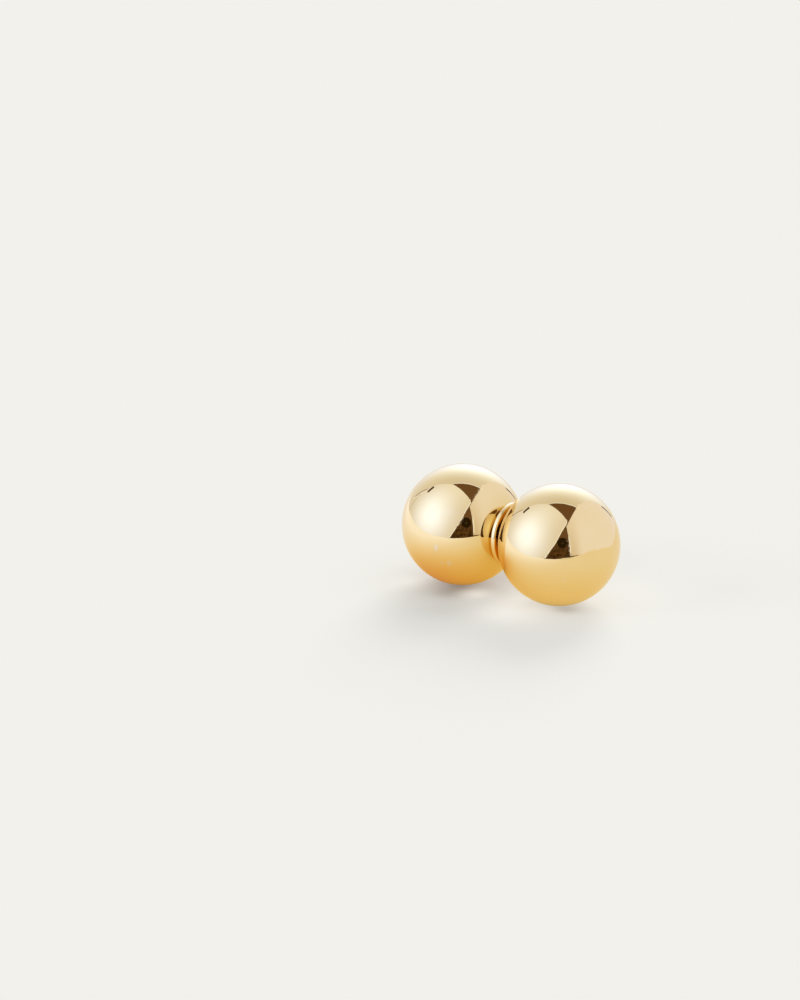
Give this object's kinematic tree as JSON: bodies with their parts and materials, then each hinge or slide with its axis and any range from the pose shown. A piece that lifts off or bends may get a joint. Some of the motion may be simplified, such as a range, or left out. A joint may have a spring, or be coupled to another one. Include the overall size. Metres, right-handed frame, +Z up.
{
  "type": "double-ball ear climber stud with butterfly nut",
  "caption": "Ear climber: polished gold balls soldered side by side with a thin collar ring between them, on a straight ear post with a push-on butterfly nut.",
  "frame": {"origin": "on the table below the middle of the earring's bounding box, with the earring lying as it rests by itself: both balls and the nut's lower edge touch the table", "axes": "+X along the balls' common axis, from the ball that carries the post to the other ball; +Y back along the post's run, seen from above; +Z up from the table"},
  "size_m": [0.0234, 0.0206, 0.012],
  "materials": {
    "polished_gold": "mirror-polished yellow gold plating over brass, with faint polishing marks and a few tiny specks",
    "nut_gold": "bright gold-plated stamped strip, a little less polished than the balls"
  },
  "bodies": {
    "root": {"double_ball_body": "polished_gold", "butterfly_nut": "nut_gold"}
  },
  "joints": []
}
